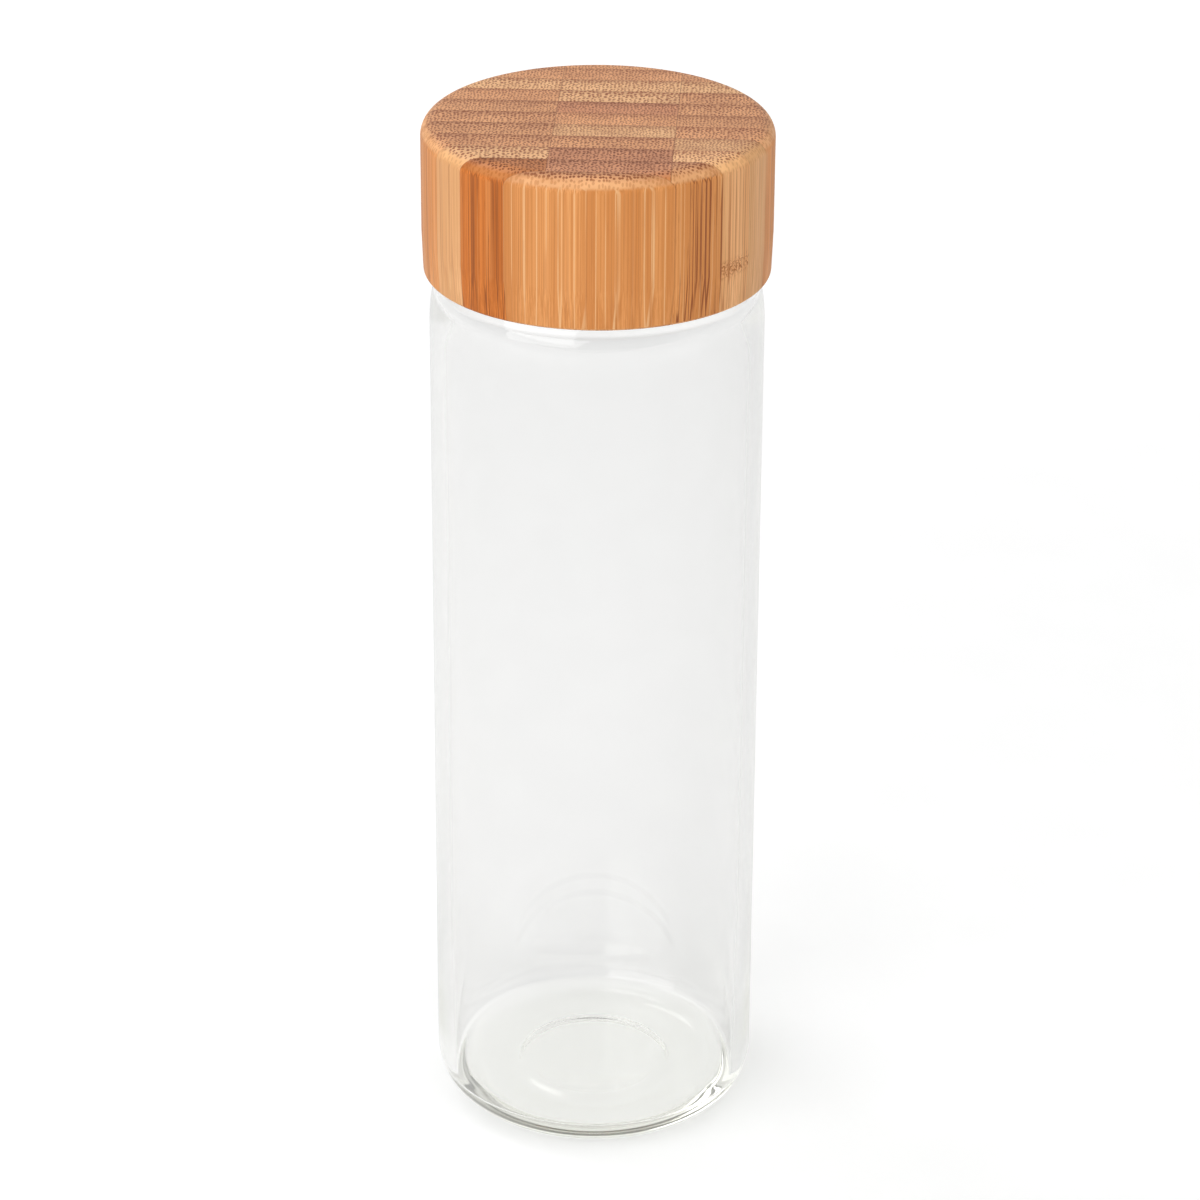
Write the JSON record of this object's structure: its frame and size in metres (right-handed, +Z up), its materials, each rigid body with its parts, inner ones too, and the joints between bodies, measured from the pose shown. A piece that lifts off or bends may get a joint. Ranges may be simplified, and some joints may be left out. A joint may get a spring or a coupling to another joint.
{
  "type": "lidded glass canister",
  "caption": "Tall round clear-glass canister with a threaded neck and a laminated bamboo screw lid, for dry goods or drinks.",
  "frame": {"origin": "centre of the ring that the base stands on, on the canister's axis", "axes": "+Z up along the canister's axis to the lid, -Y towards the front of the laminate pattern, +X to the right"},
  "size_m": [0.0728, 0.0728, 0.2282],
  "materials": {
    "clear_glass": "moulded soda-lime glass, fire polished, with a faint green cast where it is thick",
    "moulded_liner": "injection-moulded white polypropylene",
    "silicone_seal": "translucent white silicone",
    "bamboo_light": "sanded and oiled bamboo, light strip",
    "bamboo_medium": "sanded and oiled bamboo, medium strip",
    "bamboo_dark": "sanded and oiled bamboo, dark strip"
  },
  "bodies": {
    "canister": {"glass_canister": "clear_glass"},
    "seal": {"seal_ring": "silicone_seal"},
    "lid": {"thread_liner": "moulded_liner", "lid_strip_1_left": "bamboo_medium", "lid_strip_1_middle": "bamboo_medium", "lid_strip_2_left": "bamboo_medium", "lid_strip_2_middle": "bamboo_medium", "lid_strip_2_right": "bamboo_medium", "lid_strip_3_left": "bamboo_light", "lid_strip_3_middle": "bamboo_light", "lid_strip_3_right": "bamboo_light", "lid_strip_4_left": "bamboo_medium", "lid_strip_4_middle": "bamboo_light", "lid_strip_4_right": "bamboo_medium", "lid_strip_5_left": "bamboo_medium", "lid_strip_5_middle": "bamboo_dark", "lid_strip_5_right": "bamboo_medium", "lid_strip_6_left": "bamboo_medium", "lid_strip_6_middle": "bamboo_medium", "lid_strip_6_right": "bamboo_medium", "lid_strip_7_left": "bamboo_medium", "lid_strip_7_middle": "bamboo_light", "lid_strip_7_right": "bamboo_medium", "lid_strip_8_left": "bamboo_medium", "lid_strip_8_middle": "bamboo_medium", "lid_strip_8_right": "bamboo_light", "lid_strip_9_left": "bamboo_light", "lid_strip_9_middle": "bamboo_dark", "lid_strip_9_right": "bamboo_light", "lid_strip_10_left": "bamboo_dark", "lid_strip_10_middle": "bamboo_dark", "lid_strip_10_right": "bamboo_medium", "lid_strip_11_middle": "bamboo_medium"}
  },
  "joints": [
    {"name": "lid_rise", "type": "slide", "parent": "canister", "child": "seal", "axis": [0, 0, 1], "range_m": [0, 0.0231]},
    {"name": "lid_turn", "type": "hinge", "parent": "seal", "child": "lid", "pos_m": [0, 0, 0.19577], "axis": [0, 0, 1], "range_deg": [0, 1980]}
  ],
  "couplings": [
    {"joint": "lid_rise", "follows": "lid_turn", "m_per_rad": 0.00066845}
  ]
}
